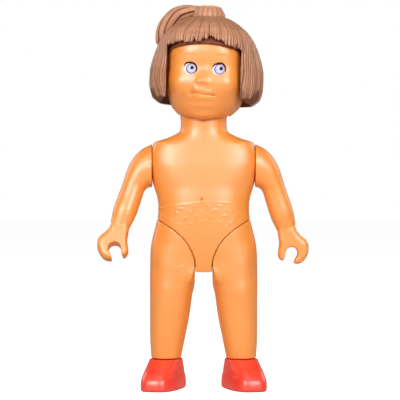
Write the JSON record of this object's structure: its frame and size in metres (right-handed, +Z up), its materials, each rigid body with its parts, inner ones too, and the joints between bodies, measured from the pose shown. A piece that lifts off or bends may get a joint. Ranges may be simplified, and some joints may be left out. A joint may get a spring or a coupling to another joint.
{
  "type": "building block figure",
  "caption": "Jointed toy child figure for large building blocks, with moulded bob hair and side tail, turning head, swinging arms with grip hands, swinging legs and shoes with stud sockets.",
  "frame": {"origin": "on the ground under the middle of the whole figure's box", "axes": "+Z up, -Y the way the chest faces, +X to the figure's left"},
  "size_m": [0.121, 0.0598, 0.22],
  "materials": {
    "skin": "smooth moulded, satin gloss",
    "hair": "moulded strands, low gloss",
    "shoe": "smooth moulded, glossy",
    "rim": "pale moulded edge",
    "pin": "plain moulded, hidden"
  },
  "bodies": {
    "torso": {"torso_front": "skin", "torso_back": "skin", "hip_axle": "pin"},
    "head": {"head_front": "skin", "head_back": "skin", "neck_plug": "pin", "hair_cap": "hair", "hair_tie": "hair", "crown_rim": "rim", "side_tail": "hair"},
    "arm_left": {"arm_left": "skin", "shoulder_pin_left": "pin"},
    "arm_right": {"arm_right": "skin", "shoulder_pin_right": "pin"},
    "leg_left": {"leg_left": "skin", "shoe_left": "shoe", "sole_left": "shoe"},
    "leg_right": {"leg_right": "skin", "shoe_right": "shoe", "sole_right": "shoe"}
  },
  "joints": [
    {"name": "head_turn", "type": "hinge", "parent": "torso", "child": "head", "pos_m": [0.0008, -0.00127, 0.153], "axis": [0.0349, 0, 0.9994], "continuous": true},
    {"name": "arm_left_swing", "type": "hinge", "parent": "torso", "child": "arm_left", "pos_m": [0.0294, -0.00127, 0.1279], "axis": [-1, 0, 0], "continuous": true},
    {"name": "arm_right_swing", "type": "hinge", "parent": "torso", "child": "arm_right", "pos_m": [-0.0294, -0.00127, 0.1279], "axis": [-1, 0, 0], "continuous": true},
    {"name": "leg_left_swing", "type": "hinge", "parent": "torso", "child": "leg_left", "pos_m": [0.0264, -0.00127, 0.072], "axis": [-1, 0, 0], "range_deg": [-30, 88]},
    {"name": "leg_right_swing", "type": "hinge", "parent": "torso", "child": "leg_right", "pos_m": [-0.0264, -0.00127, 0.072], "axis": [-1, 0, 0], "range_deg": [-30, 88]}
  ]
}
